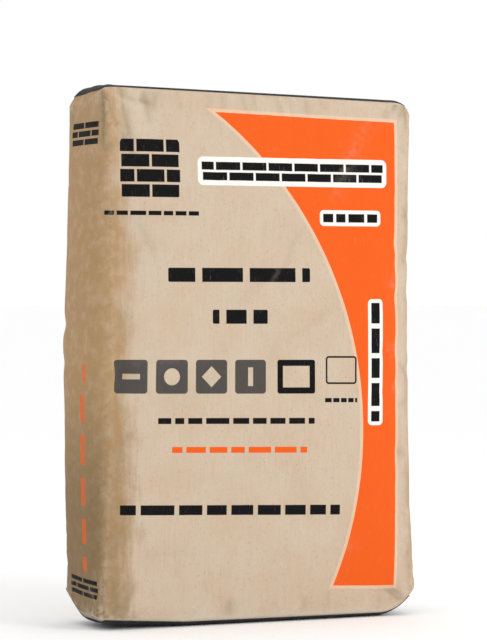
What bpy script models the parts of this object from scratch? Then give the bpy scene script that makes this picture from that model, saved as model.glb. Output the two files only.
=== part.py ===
"""A filled 50 kg cement sack of kraft paper, standing on one end.

The sack is a pasted paper tube with a folded block end at its top and its foot. A black strip
of paper is pasted over each end. The front faces -Y, the width runs along X and the origin is
the centre of the foot, on the floor. All sizes are in metres.
"""

import bmesh
import bpy
import numpy as np
from mathutils import Vector

HEIGHT = 0.650

# Half the sack's width on each side, and half its depth, at five heights from the foot to the top
STATIONS = (-1.0, -0.6, 0.0, 0.6, 1.0)
LEFT_REACH = (0.2092, 0.2142, 0.2168, 0.2108, 0.2040)
RIGHT_REACH = (0.2172, 0.2168, 0.2148, 0.2136, 0.2107)
HALF_DEPTH = (0.0580, 0.0660, 0.0700, 0.0655, 0.0575)

# How square the sack is seen from above: a high power is a sharp-cornered rectangle
SQUARENESS_END = 14.0
SQUARENESS_MIDDLE = 6.0

# The block ends: how far the top falls from left to right, and how far in their folds lie
TOP_SLOPE = 0.009
TOP_FOLD_DROP = {"front_left": 0.003, "front_right": 0.004, "back_left": 0.018, "back_right": 0.008}
FOOT_FOLD_RISE = 0.008
SIDE_FOLD_DIP = 0.008
TOP_CORNER_SPAN = 0.034
TOP_CORNER_CRUSH = 0.005
FOOT_CORNER_SPAN = 0.050
FOOT_CORNER_CRUSH = 0.027
TOP_ROLL = 0.018
FOOT_ROLL = 0.015

# The foot's flat: how far it reaches, as shares of the net, and how hollow it is
FLAT_LEFT = 0.64
FLAT_RIGHT = 0.76
FLAT_DEPTH = 0.74
FOOT_HOLLOW = 0.0003

# Points of the foot's strip that lie no higher than this are pressed onto the floor
PRESSED_FLAT = 0.00006

# The foot's left edge, slightly lifted along its whole depth
FOOT_LEFT_LIFT = 0.007
FOOT_LEFT_SPAN = 0.075

# The foot's folded-up corner at the back left: its rise, and its reach from the side and the back
HEEL_RISE = 0.028
HEEL_WIDTH = 0.075
HEEL_DEPTH = 0.052

# How sharply the forms change: higher powers keep a change closer to the edge where it starts
SQUARENESS_POWER = 3
ROUNDING_POWER = 6
SIDE_DIP_ACROSS_POWER = 8
SIDE_DIP_ALONG_POWER = 6
CRUSH_POWER = 2
ROLL_POWER = 2
HEEL_POWER = 1.3

# Paper strips pasted over the ends
STRIP_MARGIN_SHARE = 0.03
STRIP_THICKNESS = 0.0008
PASTE_GAP = 0.0003
END_REST = STRIP_THICKNESS + PASTE_GAP

# Where the sack's net of faces is cut, as shares of half the width, depth and height
WIDTH_CUTS = (0.0, 0.17, 0.34, 0.50, 0.64, 0.76, 0.85, 0.91, 0.94, 0.97)
DEPTH_CUTS = (0.0, 0.30, 0.55, 0.74, 0.87, 0.97)
HEIGHT_CUTS = (0.0, 0.14, 0.28, 0.42, 0.55, 0.67, 0.77, 0.85, 0.91, 0.96, 0.985)

EDGE = 1e-5
SMOOTH_ANGLE = 0.6

KRAFT_COLOUR = (0.62, 0.47, 0.33)
KRAFT_ROUGHNESS = 0.85
BLACK_COLOUR = (0.02, 0.02, 0.022)
BLACK_ROUGHNESS = 0.55

# Values kept with each corner of the net
CUBE_PLACE = "cube_place"
OUTWARDS = "outwards"


def clear_scene():
    """Remove every object of the startup scene."""
    for thing in list(bpy.data.objects):
        bpy.data.objects.remove(thing, do_unlink=True)


def paper(name, colour, roughness):
    """A matte paper material of one colour."""
    material = bpy.data.materials.new(name)
    material.use_nodes = True
    shader = material.node_tree.nodes["Principled BSDF"]
    shader.inputs["Base Color"].default_value = (*colour, 1.0)
    shader.inputs["Roughness"].default_value = roughness
    shader.inputs["Metallic"].default_value = 0.0
    return material


def blend(low, high, share):
    """The value that lies that share of the way from low to high."""
    return low + (high - low) * share


def square_to_section(across, along, power):
    """Moves a point of the unit square into a rounded rectangle of that squareness.

    The rounding fades inwards, so that lines across the middle of an end stay straight.
    """
    reach = max(abs(across), abs(along))
    if reach == 0.0:
        return 0.0, 0.0
    shrink = reach / (abs(across) ** power + abs(along) ** power) ** (1.0 / power)
    shrink = blend(1.0, shrink, reach**ROUNDING_POWER)
    return across * shrink, along * shrink


def smooth_curve(values):
    """The smooth curve over the sack's height that passes through one value at each station."""
    return np.poly1d(np.polyfit(STATIONS, values, len(STATIONS) - 1))


left_reach = smooth_curve(LEFT_REACH)
right_reach = smooth_curve(RIGHT_REACH)
half_depth = smooth_curve(HALF_DEPTH)


def place_in_section(across, along, up):
    """Where a point of the unit square lies, across and along, at a height from -1 to 1."""
    section = square_to_section(across, along, squareness(up))
    reach = left_reach(up) if across < 0 else right_reach(up)
    return section[0] * reach, section[1] * half_depth(up)


def squareness(up):
    """The section is rounded halfway up and almost a rectangle at the ends."""
    return blend(SQUARENESS_MIDDLE, SQUARENESS_END, abs(up) ** SQUARENESS_POWER)


def corner_crush(across, depth_of_crush, span):
    """How far an end's crushed right-hand corner lies further in, by the place across the sack."""
    from_corner = (1.0 - across) * RIGHT_REACH[0]
    return depth_of_crush * max(0.0, 1.0 - from_corner / span) ** CRUSH_POWER


def left_lift(across):
    """How far the foot's left edge lies further up, by the place across the sack."""
    from_left = (1.0 + across) * LEFT_REACH[0]
    return FOOT_LEFT_LIFT * max(0.0, 1.0 - from_left / FOOT_LEFT_SPAN)


def heel_rise(across, along):
    """How far the foot's back left corner is folded up, at a point of the unit square."""
    from_left = (1.0 + across) * LEFT_REACH[0]
    from_back = (1.0 - along) * HALF_DEPTH[0]
    nearness = max(0.0, 1.0 - from_left / HEEL_WIDTH) * max(0.0, 1.0 - from_back / HEEL_DEPTH)
    return HEEL_RISE * nearness**HEEL_POWER


def foot_hollow(across, along):
    """How far the foot's flat lies up from the floor: nothing at its four corners, on which it rests."""
    from_middle = min(1.0, abs(across) / (FLAT_LEFT if across < 0 else FLAT_RIGHT))
    return FOOT_HOLLOW * (1.0 - (from_middle * min(1.0, abs(along) / FLAT_DEPTH)) ** 2)


def side_fold_dip(across, along):
    """How much further in the end's folds lie along the sack's two narrow sides."""
    return SIDE_FOLD_DIP * abs(across) ** SIDE_DIP_ACROSS_POWER * (1 - along**SIDE_DIP_ALONG_POWER)


def top_fold_drop(across, along):
    """How far the fold round the top end lies below its flat, at a point of the rim."""
    rightward = (across + 1) / 2
    backward = (along + 1) / 2
    front = blend(TOP_FOLD_DROP["front_left"], TOP_FOLD_DROP["front_right"], rightward)
    back = blend(TOP_FOLD_DROP["back_left"], TOP_FOLD_DROP["back_right"], rightward)
    return blend(front, back, backward) + side_fold_dip(across, along)


def foot_fold_rise(across, along):
    """How far the fold round the foot lies above the end's flat, at a point of the rim."""
    return FOOT_FOLD_RISE + side_fold_dip(across, along)


def roll_share(across, along, width):
    """1 at the fold round an end, falling to 0 at that width from it, where the end becomes flat."""
    from_side = (1.0 - abs(across)) * RIGHT_REACH[0]
    from_face = (1.0 - abs(along)) * HALF_DEPTH[0]
    return max(0.0, 1.0 - min(from_side, from_face) / width) ** ROLL_POWER


def rim_point(across, along):
    """The point of the unit square's rim in the same direction."""
    reach = max(abs(across), abs(along), EDGE)
    return across / reach, along / reach


def end_height(across, along, up):
    """Height of an end's surface over a point of the unit square."""
    rim = rim_point(across, along)
    share = roll_share(across, along, TOP_ROLL if up > 0 else FOOT_ROLL)
    if up > 0:
        slope = TOP_SLOPE * (across + 1) / 2
        crush = corner_crush(across, TOP_CORNER_CRUSH, TOP_CORNER_SPAN)
        return HEIGHT - END_REST - slope - top_fold_drop(*rim) * share - crush
    crush = corner_crush(across, FOOT_CORNER_CRUSH, FOOT_CORNER_SPAN)
    crush += left_lift(across) + heel_rise(across, along)
    return END_REST + foot_fold_rise(*rim) * share + crush + foot_hollow(across, along)


def end_point(across, along, up):
    """A point of the top (up = 1) or foot (up = -1) end."""
    return Vector((*place_in_section(across, along, up), end_height(across, along, up)))


def wall_point(across, along, up):
    """A point of the tube's wall, between the folds of the two ends."""
    low = end_height(across, along, -1)
    high = end_height(across, along, 1)
    return Vector((*place_in_section(across, along, up), blend(low, high, (up + 1) / 2)))


def cut_net(net, cuts, axis):
    """Cut a net of faces across one axis at each place in cuts, on both sides of the middle."""
    places = sorted({side * cut for cut in cuts for side in (-1, 1)})
    normal = Vector((0, 0, 0))
    normal[axis] = 1.0
    for place in places:
        bmesh.ops.bisect_plane(
            net,
            geom=net.verts[:] + net.edges[:] + net.faces[:],
            dist=EDGE / 10,
            plane_co=normal * place,
            plane_no=normal,
        )


def sack_net():
    """The filled sack's surface, mapped from a cube from -1 to 1 that is cut into triangles.

    Each corner keeps its place on the cube and its outward direction. The sack and its strips
    share this net, so that a strip lies flat on its end.
    """
    net = bmesh.new()
    bmesh.ops.create_cube(net, size=2.0)
    cut_net(net, WIDTH_CUTS, axis=0)
    cut_net(net, DEPTH_CUTS, axis=1)
    cut_net(net, HEIGHT_CUTS, axis=2)
    bmesh.ops.triangulate(net, faces=net.faces[:])
    cube_place = net.verts.layers.float_vector.new(CUBE_PLACE)
    outwards = net.verts.layers.float_vector.new(OUTWARDS)
    for corner in net.verts:
        across, along, up = corner[cube_place] = corner.co.copy()
        on_end = max(abs(across), abs(along)) < 1.0 - EDGE
        corner.co = end_point(across, along, round(up)) if on_end else wall_point(across, along, up)
    net.normal_update()
    for corner in net.verts:
        corner[outwards] = corner.normal
    return net


def add_object(name, net, material):
    """Turn a net of faces into a named, smooth-shaded object."""
    bmesh.ops.recalc_face_normals(net, faces=net.faces[:])
    mesh = bpy.data.meshes.new(name)
    net.to_mesh(mesh)
    net.free()
    mesh.shade_smooth()
    mesh.set_sharp_from_angle(angle=SMOOTH_ANGLE)
    mesh.materials.append(material)
    thing = bpy.data.objects.new(name, mesh)
    bpy.context.scene.collection.objects.link(thing)
    return thing


def in_strip(place, up):
    """Whether a place on the cube lies under the strip on that end."""
    reach = max(abs(place.x), abs(place.y))
    return place.z * up > 1.0 - EDGE and reach < 1.0 - STRIP_MARGIN_SHARE + EDGE


def end_strip(name, up, material):
    """The paper strip pasted over one end (up is 1 at the top, -1 at the foot)."""
    net = sack_net()
    cube_place = net.verts.layers.float_vector[CUBE_PLACE]
    outwards = net.verts.layers.float_vector[OUTWARDS]
    outside = [corner for corner in net.verts if not in_strip(corner[cube_place], up)]
    bmesh.ops.delete(net, geom=outside, context="VERTS")
    inner = set(net.verts)
    bmesh.ops.extrude_face_region(net, geom=net.faces[:], use_keep_orig=True)
    for corner in net.verts:
        lift = PASTE_GAP if corner in inner else PASTE_GAP + STRIP_THICKNESS
        corner.co += corner[outwards] * lift
        if corner.co.z < PRESSED_FLAT:
            corner.co.z = 0.0
    return add_object(name, net, material)


def main():
    """Build the sack and the strips on its two ends."""
    clear_scene()
    kraft = paper("kraft_paper", KRAFT_COLOUR, KRAFT_ROUGHNESS)
    black = paper("black_paper", BLACK_COLOUR, BLACK_ROUGHNESS)
    add_object("sack_body", sack_net(), kraft)
    end_strip("top_end_strip", 1, black)
    end_strip("foot_end_strip", -1, black)


main()
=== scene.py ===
"""The finish of a filled kraft paper cement sack that stands on one end.

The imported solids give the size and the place. The sack's skin is rebuilt here as folded paper: a
net of faces is drawn over the filled form, blown up as cloth so that the paper puckers, creased by
handling, and printed with plain generic marks. The black strips over its two ends are cut from the
same skin. All sizes are in metres, the printed front faces -Y and the sack stands on z = 0.
"""

import logging
import math
from dataclasses import dataclass, field
from enum import Enum
from typing import Sequence, Union

import bmesh
import bpy
import numpy as np
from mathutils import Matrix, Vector


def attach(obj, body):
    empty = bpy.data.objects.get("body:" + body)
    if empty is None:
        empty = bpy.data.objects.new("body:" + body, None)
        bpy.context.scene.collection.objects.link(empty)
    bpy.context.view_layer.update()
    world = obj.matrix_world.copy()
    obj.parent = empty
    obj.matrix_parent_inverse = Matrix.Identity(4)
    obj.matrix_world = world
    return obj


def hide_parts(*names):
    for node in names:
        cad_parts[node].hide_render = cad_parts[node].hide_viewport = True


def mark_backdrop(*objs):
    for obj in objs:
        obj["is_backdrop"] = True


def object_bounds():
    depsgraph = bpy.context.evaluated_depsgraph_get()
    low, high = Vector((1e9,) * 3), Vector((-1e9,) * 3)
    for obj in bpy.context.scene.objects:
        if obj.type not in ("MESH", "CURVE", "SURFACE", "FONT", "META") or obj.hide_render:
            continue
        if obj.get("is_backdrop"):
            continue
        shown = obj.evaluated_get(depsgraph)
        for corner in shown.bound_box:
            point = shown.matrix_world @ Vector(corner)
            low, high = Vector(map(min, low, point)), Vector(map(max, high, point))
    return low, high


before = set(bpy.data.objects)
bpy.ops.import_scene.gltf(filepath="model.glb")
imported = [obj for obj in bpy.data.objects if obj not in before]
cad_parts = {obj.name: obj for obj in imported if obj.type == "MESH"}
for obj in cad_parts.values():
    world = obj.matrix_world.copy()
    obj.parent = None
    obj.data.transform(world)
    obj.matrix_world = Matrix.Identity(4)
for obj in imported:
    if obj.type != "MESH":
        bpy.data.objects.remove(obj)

LOG = logging.getLogger("cement_sack")
BODY = "root"
PLACE = "place_on_net"
WEAR = "wear"
PRESSED = "pressed"
SHEET = "sheet"


class End(Enum):
    """One of the sack's two folded ends, with its side of the net."""

    TOP = 1
    FOOT = -1


class Panel(Enum):
    """One of the six panels of the sack's net: the axis that it faces, and which way."""

    LEFT = (0, -1)
    RIGHT = (0, 1)
    FRONT = (1, -1)
    BACK = (1, 1)
    FOOT = (2, -1)
    TOP = (2, 1)


Number = Union[float, "Signal"]


class Signal:
    """A shader socket that does sums: an expression on signals adds its Math nodes."""

    def __init__(self, board: "Board", socket: bpy.types.NodeSocket) -> None:
        """Wrap a socket of a board's node.

        Args:
            board: The board that the node is on.
            socket: The output socket.
        """
        self.board = board
        self.socket = socket

    def _sum(self, operation: str, *values: Number) -> "Signal":
        """The outcome of one Math node."""
        inputs = dict(enumerate(values))
        return self.board.node("ShaderNodeMath", {"operation": operation}, inputs)

    def __add__(self, other: Number) -> "Signal":
        """The sum."""
        return self._sum("ADD", self, other)

    __radd__ = __add__

    def __sub__(self, other: Number) -> "Signal":
        """The difference."""
        return self._sum("SUBTRACT", self, other)

    def __rsub__(self, other: Number) -> "Signal":
        """The difference, with the signal taken away."""
        return self._sum("SUBTRACT", other, self)

    def __mul__(self, other: Number) -> "Signal":
        """The product."""
        return self._sum("MULTIPLY", self, other)

    __rmul__ = __mul__

    def __truediv__(self, other: Number) -> "Signal":
        """The quotient."""
        return self._sum("DIVIDE", self, other)

    def __mod__(self, other: Number) -> "Signal":
        """What is left over after whole steps, from 0 up, also below zero."""
        return self._sum("FLOORED_MODULO", self, other)

    def __abs__(self) -> "Signal":
        """The size without its sign."""
        return self._sum("ABSOLUTE", self)

    def low(self, other: Number) -> "Signal":
        """The lower of two values."""
        return self._sum("MINIMUM", self, other)

    def high(self, other: Number) -> "Signal":
        """The higher of two values."""
        return self._sum("MAXIMUM", self, other)

    def floor(self) -> "Signal":
        """The whole number below."""
        return self._sum("FLOOR", self)

    def root(self) -> "Signal":
        """The square root."""
        return self._sum("SQRT", self)

    def steps(self, start: float, end: float) -> "Signal":
        """A smooth rise from 0 at start to 1 at end.

        Args:
            start: The value at which the rise starts.
            end: The value at which it is done. It may be below start.

        Returns:
            The rise, held between 0 and 1.
        """
        settings = {"interpolation_type": "SMOOTHSTEP"}
        rising = end > start
        inputs = {
            "Value": self,
            "From Min": start if rising else end,
            "From Max": end if rising else start,
            "To Min": 0.0 if rising else 1.0,
            "To Max": 1.0 if rising else 0.0,
        }
        return self.board.node("ShaderNodeMapRange", settings, inputs)


class Board:
    """The node board of one material, with a Principled shader on it."""

    def __init__(self, name: str) -> None:
        """Make a material with an empty Principled board.

        Args:
            name: The material's name.
        """
        self.material = bpy.data.materials.new(name)
        self.material.use_nodes = True
        self.tree = self.material.node_tree
        self.shader = self.tree.nodes["Principled BSDF"]

    def node(
        self,
        kind: str,
        settings: dict[str, object] | None = None,
        inputs: dict[int | str, object] | None = None,
        output: int | str = 0,
    ) -> Signal:
        """Add a node.

        Args:
            kind: Blender's name of the node type.
            settings: Properties of the node, set before its sockets.
            inputs: Values or signals for its input sockets.
            output: Which output socket is wanted.

        Returns:
            The wanted output.
        """
        node = self.tree.nodes.new(kind)
        for name, value in (settings or {}).items():
            setattr(node, name, value)
        for key, value in (inputs or {}).items():
            self.feed(node.inputs[key], value)
        return Signal(self, node.outputs[output])

    def feed(self, socket: bpy.types.NodeSocket, value: object) -> None:
        """Link a signal to an input socket, or set its plain value."""
        if isinstance(value, Signal):
            self.tree.links.new(value.socket, socket)
        else:
            socket.default_value = value

    def split(self, vector: Signal) -> tuple[Signal, Signal, Signal]:
        """The three numbers of a vector."""
        parts = self.node("ShaderNodeSeparateXYZ", inputs={0: vector}).socket.node.outputs
        return Signal(self, parts[0]), Signal(self, parts[1]), Signal(self, parts[2])

    def sheet_place(self) -> tuple[Signal, Signal]:
        """The place on the flat paper sheet, across it and up it, in metres."""
        across, up, _ = self.split(self.node("ShaderNodeUVMap", {"uv_map": SHEET}))
        return across, up

    def cell_edge(self, along: Signal, seed: float) -> Signal:
        """The distance to the nearest edge of uneven cells that are about 1 long.

        Args:
            along: The place along the row of cells.
            seed: A shift that chooses another stretch of cells.

        Returns:
            The distance, in cells.
        """
        settings = {"voronoi_dimensions": "1D", "feature": "DISTANCE_TO_EDGE"}
        inputs = {"W": along + seed, "Scale": 1.0, "Randomness": 0.8}
        return self.node("ShaderNodeTexVoronoi", settings, inputs, output="Distance")

    def mix(self, share: Number, low: object, high: object) -> Signal:
        """A colour between two colours.

        Args:
            share: 0 for the first colour, 1 for the second.
            low: The first colour.
            high: The second colour.

        Returns:
            The mixed colour.
        """
        settings = {"data_type": "RGBA", "clamp_factor": True}
        return self.node("ShaderNodeMix", settings, {0: share, 6: low, 7: high}, output=2)

    def object_place(self) -> Signal:
        """The place on the object, in metres."""
        return self.node("ShaderNodeTexCoord", output="Object")

    def attribute(self, name: str) -> Signal:
        """A number kept with the mesh."""
        return self.node("ShaderNodeAttribute", {"attribute_name": name}, output="Fac")

    def noise(self, place: Signal, look: "Noise") -> Signal:
        """Cloudy noise from 0 to 1.

        Args:
            place: The place on the object.
            look: What the noise is like.

        Returns:
            The noise, cut to its two levels where it has them.
        """
        scaled = {"Vector": place, "Scale": look.clouds}
        place = self.node("ShaderNodeMapping", {"vector_type": "POINT"}, scaled)
        inputs = {"Vector": place, "Scale": 1.0, "Detail": look.detail, "Roughness": look.rough}
        cloudy = self.node("ShaderNodeTexNoise", {"noise_dimensions": "3D"}, inputs)
        return cloudy.steps(*look.levels) if look.levels else cloudy

    def bump(
        self, height: Signal, distance: float, strength: float = 1.0, over: Signal | None = None
    ) -> Signal:
        """A normal that follows a height.

        Args:
            height: The height, from 0 to 1.
            distance: The height's full range, in metres.
            strength: How strongly the normal follows it.
            over: A normal of finer relief that lies on it.

        Returns:
            The normal.
        """
        inputs = {"Height": height, "Distance": distance, "Strength": strength}
        if over is not None:
            inputs["Normal"] = over
        return self.node("ShaderNodeBump", {}, inputs)

    def finish(self, **sockets: object) -> bpy.types.Material:
        """Set the shader's sockets and return the material.

        Args:
            sockets: Values or signals, named as the sockets are, with _ for a space.

        Returns:
            The finished material.
        """
        for name, value in sockets.items():
            self.feed(self.shader.inputs[name.replace("_", " ")], value)
        return self.material


Colour = tuple[float, float, float, float]
Levels = tuple[float, float]


@dataclass(frozen=True)
class Noise:
    """A kind of noise: its clouds a metre on each axis, and the two levels that it is cut to."""

    clouds: tuple[float, float, float]
    detail: float = 4.0
    rough: float = 0.6
    levels: Levels | None = None


@dataclass(frozen=True)
class SackForm:
    """The filled sack's form: a net from -1 to 1 on each axis is mapped onto it.

    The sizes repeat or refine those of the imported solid, so that the skin lies on it.
    """

    height: float
    stations: tuple[float, ...] = (-1.0, -0.6, 0.0, 0.6, 1.0)
    left_reach: tuple[float, ...] = (0.2092, 0.2142, 0.2168, 0.2108, 0.2040)
    right_reach: tuple[float, ...] = (0.2172, 0.2168, 0.2148, 0.2136, 0.2107)
    half_depth: tuple[float, ...] = (0.0580, 0.0660, 0.0700, 0.0655, 0.0575)
    squareness_middle: float = 6.0
    squareness_end: float = 16.0
    squareness_fold: float = 34.0
    rounding: int = 6
    end_rest: float = 0.0011
    top_slope: float = 0.009
    top_crown: float = 0.001
    top_drop_front: tuple[float, float] = (0.002, 0.003)
    top_drop_back: tuple[float, float] = (0.018, 0.008)
    foot_rise: tuple[float, float] = (0.008, 0.005)
    top_side_dip: float = 0.008
    foot_side_dip: float = 0.003
    top_crush: tuple[float, float, float] = (0.012, 0.034, 5.0)
    foot_crush: tuple[float, float, float] = (0.027, 0.050, 2.0)
    left_lift: float = 0.0065
    left_span: float = 0.115
    heel_rise: float = 0.027
    heel_width: float = 0.075
    heel_depth: float = 0.052
    heel_power: float = 1.3
    end_roll: float = 0.018
    flap_overlap: float = 0.010
    flap_step: float = 0.0010

    def curve(self, values: Sequence[float], up: np.ndarray) -> np.ndarray:
        """The smooth curve over the height that passes through one value at each station."""
        return np.polyval(np.polyfit(self.stations, values, len(self.stations) - 1), up)

    def section(self, net: np.ndarray, up: np.ndarray) -> tuple[np.ndarray, np.ndarray]:
        """Place points across and along the sack.

        Args:
            net: Points of the net, one a row.
            up: The height of each point's section, from -1 to 1.

        Returns:
            Their x and their y.
        """
        across, along = net[:, 0], net[:, 1]
        near_end = np.abs(up)
        power = self.squareness_middle + (self.squareness_end - self.squareness_middle) * near_end**3
        power = power + (self.squareness_fold - self.squareness_end) * near_end**14
        reach = np.maximum(np.abs(across), np.abs(along))
        spread = (np.abs(across) ** power + np.abs(along) ** power) ** (1.0 / power)
        shrink = np.divide(reach, spread, out=np.ones_like(reach), where=reach > 0)
        shrink = 1.0 + (shrink - 1.0) * reach**self.rounding
        left, right = self.curve(self.left_reach, up), self.curve(self.right_reach, up)
        half_width = np.where(across < 0, left, right)
        return across * shrink * half_width, along * shrink * self.curve(self.half_depth, up)

    def span(self, start: np.ndarray, end: np.ndarray, steps: int = 24) -> np.ndarray:
        """The length over the wall between points of the net at the same heights.

        Args:
            start: The first points, one a row.
            end: The last points, one a row.
            steps: How many straight pieces the way is measured in.

        Returns:
            The length of each way, in metres.
        """
        total = np.zeros(len(start))
        x, y = self.section(start, start[:, 2])
        for step in range(1, steps + 1):
            place = start + (end - start) * (step / steps)
            next_x, next_y = self.section(place, place[:, 2])
            total = total + np.hypot(next_x - x, next_y - y)
            x, y = next_x, next_y
        return total

    def around(self, net: np.ndarray, panel: Panel) -> np.ndarray:
        """How far round the tube a panel's points lie from the middle of the front, to the right.

        Args:
            net: Points of the net on that panel, one a row.
            panel: One of the four panels of the tube.

        Returns:
            The length over the paper, in metres.
        """
        across, along, up = net.T
        middle = np.column_stack([np.zeros_like(up), -np.ones_like(up), up])
        here = np.column_stack([across, -np.ones_like(up), up])
        if panel is Panel.FRONT:
            return np.sign(across) * self.span(middle, here)
        side = -1.0 if panel is Panel.LEFT else 1.0
        fold = np.column_stack([np.full_like(up, side), -np.ones_like(up), up])
        back_fold = fold * np.array([1.0, -1.0, 1.0])
        if panel is not Panel.BACK:
            here = np.column_stack([np.full_like(up, side), along, up])
            return side * (self.span(middle, fold) + self.span(fold, here))
        here = np.column_stack([across, np.ones_like(up), up])
        return self.span(middle, fold) + self.span(fold, back_fold) + self.span(back_fold, here)

    def crush(self, across: np.ndarray, dent: tuple[float, float, float]) -> np.ndarray:
        """How far in the right-hand corner is crushed.

        Args:
            across: The places on the net, across the sack.
            dent: The depth and the span of the crush, and how sharply it falls to the corner.

        Returns:
            The crush over each place, in metres.
        """
        depth, span, power = dent
        from_corner = (1.0 - across) * self.right_reach[0]
        return depth * np.maximum(0.0, 1.0 - from_corner / span) ** power

    def foot_lift(self, net: np.ndarray) -> np.ndarray:
        """How far the foot lies up from the floor at its left edge and its folded-up heel.

        Args:
            net: Points of the net, one a row.

        Returns:
            The lift over each point, in metres.
        """
        from_left = (1.0 + net[:, 0]) * self.left_reach[0]
        from_back = (1.0 - net[:, 1]) * self.half_depth[0]
        lift = self.left_lift * np.maximum(0.0, 1.0 - from_left / self.left_span)
        nearness = np.maximum(0.0, 1.0 - from_left / self.heel_width)
        nearness = nearness * np.maximum(0.0, 1.0 - from_back / self.heel_depth)
        return lift + self.heel_rise * nearness**self.heel_power

    def flap_relief(self, net: np.ndarray) -> np.ndarray:
        """How far the folded flaps under an end strip stand proud.

        Args:
            net: Points of the net on an end.

        Returns:
            The height of the flaps, in metres.
        """
        x, y = net[:, 0] * self.right_reach[0], net[:, 1] * self.half_depth[0]
        soft = 0.0022
        over = 1.0 / (1.0 + np.exp((y - self.flap_overlap) / soft * 2))
        under = 1.0 / (1.0 + np.exp(-(y + self.flap_overlap) / soft * 2))
        tuck_reach = self.right_reach[0] - np.abs(x) - self.half_depth[0] + np.abs(y)
        tuck = 1.0 / (1.0 + np.exp(tuck_reach / soft * 2))
        return self.flap_step * (over + under + tuck)

    def end_height(self, net: np.ndarray, end: End) -> np.ndarray:
        """Height of an end's surface.

        Args:
            net: Points of the net.
            end: Which end.

        Returns:
            The height over each point, in metres.
        """
        across, along = net[:, 0], net[:, 1]
        reach = np.maximum(np.maximum(np.abs(across), np.abs(along)), 1e-6)
        rim_across, rim_along = across / reach, along / reach
        from_side = (1.0 - np.abs(across)) * self.right_reach[0]
        from_face = (1.0 - np.abs(along)) * self.half_depth[0]
        roll = np.maximum(0.0, 1.0 - np.minimum(from_side, from_face) / self.end_roll) ** 2
        dip = np.abs(rim_across) ** 8 * (1 - rim_along**6)
        right, back = (rim_across + 1) / 2, (rim_along + 1) / 2
        if end is End.FOOT:
            rise = self.foot_rise[0] * (1 - right) + self.foot_rise[1] * right
            crush = self.crush(across, self.foot_crush) + self.foot_lift(net)
            return self.end_rest + (rise + self.foot_side_dip * dip) * roll + crush
        front_drop = self.top_drop_front[0] * (1 - right) + self.top_drop_front[1] * right
        back_drop = self.top_drop_back[0] * (1 - right) + self.top_drop_back[1] * right
        drop = (front_drop * (1 - back) + back_drop * back + self.top_side_dip * dip) * roll
        drop = drop + self.top_slope * (across + 1) / 2 + self.crush(across, self.top_crush)
        flaps = self.flap_relief(net) * (1 - roll)
        return self.height + self.top_crown - self.end_rest - drop + flaps - 2 * self.flap_step

    def points(self, net: np.ndarray) -> np.ndarray:
        """Where points of the net lie on the filled sack.

        Args:
            net: Points on the cube from -1 to 1, one a row.

        Returns:
            Their places, one a row, in metres.
        """
        up = net[:, 2]
        x, y = self.section(net, up)
        foot, top = self.end_height(net, End.FOOT), self.end_height(net, End.TOP)
        return np.column_stack([x, y, foot + (top - foot) * (up + 1) / 2])


def coordinates(mesh: bpy.types.Mesh) -> np.ndarray:
    """The mesh's points, one a row."""
    flat = np.empty(len(mesh.vertices) * 3)
    mesh.vertices.foreach_get("co", flat)
    return flat.reshape(-1, 3)


def move_points(mesh: bpy.types.Mesh, places: np.ndarray) -> None:
    """Put the mesh's points at those places."""
    mesh.vertices.foreach_set("co", places.ravel())
    mesh.update()


def normals(mesh: bpy.types.Mesh) -> np.ndarray:
    """The outward direction at each point, one a row."""
    flat = np.empty(len(mesh.vertices) * 3)
    mesh.vertex_normals.foreach_get("vector", flat)
    return flat.reshape(-1, 3)


def kept_places(mesh: bpy.types.Mesh) -> np.ndarray:
    """Each point's place on the net, as it was kept with the mesh."""
    flat = np.empty(len(mesh.vertices) * 3)
    mesh.attributes[PLACE].data.foreach_get("vector", flat)
    return flat.reshape(-1, 3)


def smoothed(mesh: bpy.types.Mesh, values: np.ndarray, rounds: int) -> np.ndarray:
    """Even values out over a mesh by averaging each point with its neighbours.

    Args:
        mesh: The mesh.
        values: One row of numbers for each point.
        rounds: How many times to average.

    Returns:
        The evened values.
    """
    ends = np.empty(len(mesh.edges) * 2, dtype=int)
    mesh.edges.foreach_get("vertices", ends)
    first, second = ends.reshape(-1, 2).T
    count = np.bincount(ends, minlength=len(values))[:, None]
    even = values.copy()
    for _ in range(rounds):
        sums = [
            np.bincount(first, column[second], len(values))
            + np.bincount(second, column[first], len(values))
            for column in even.T
        ]
        even = (even + np.column_stack(sums) / count) / 2
    return even


def with_modifiers(thing: bpy.types.Object) -> None:
    """Apply every modifier of an object to its mesh."""
    graph = bpy.context.evaluated_depsgraph_get()
    mesh = bpy.data.meshes.new_from_object(thing.evaluated_get(graph))
    thing.modifiers.clear()
    thing.data = mesh


@dataclass(frozen=True)
class Crease:
    """A line pressed into the paper, from one place on the flat sheet to another.

    A depth above zero is a valley and below zero is a ridge. The bow is how far the line's middle
    strays aside, and the slope is how much longer its one flank is than the other.
    """

    start: tuple[float, float]
    end: tuple[float, float]
    depth: float
    width: float
    bow: float = 0.0
    slope: float = 1.0

    def height(self, sheet: np.ndarray) -> np.ndarray:
        """The crease's height over each point of the sheet.

        Args:
            sheet: Places on the flat sheet, one a row, in metres.

        Returns:
            The heights, in metres: below zero in a valley.
        """
        way = np.subtract(self.end, self.start)
        length = np.hypot(*way)
        from_start = sheet - np.array(self.start)
        share = np.clip(from_start @ way / length**2, -0.5, 1.5) * 2 - 1
        aside = from_start @ np.array([-way[1], way[0]]) / length - self.bow * (1 - share**2)
        width = np.where(aside > 0, self.width, self.width * self.slope)
        taper = np.clip(1 - share**2, 0.0, 1.0) ** 0.7
        return -self.depth * np.exp(-np.abs(aside) / width) * taper


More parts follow.
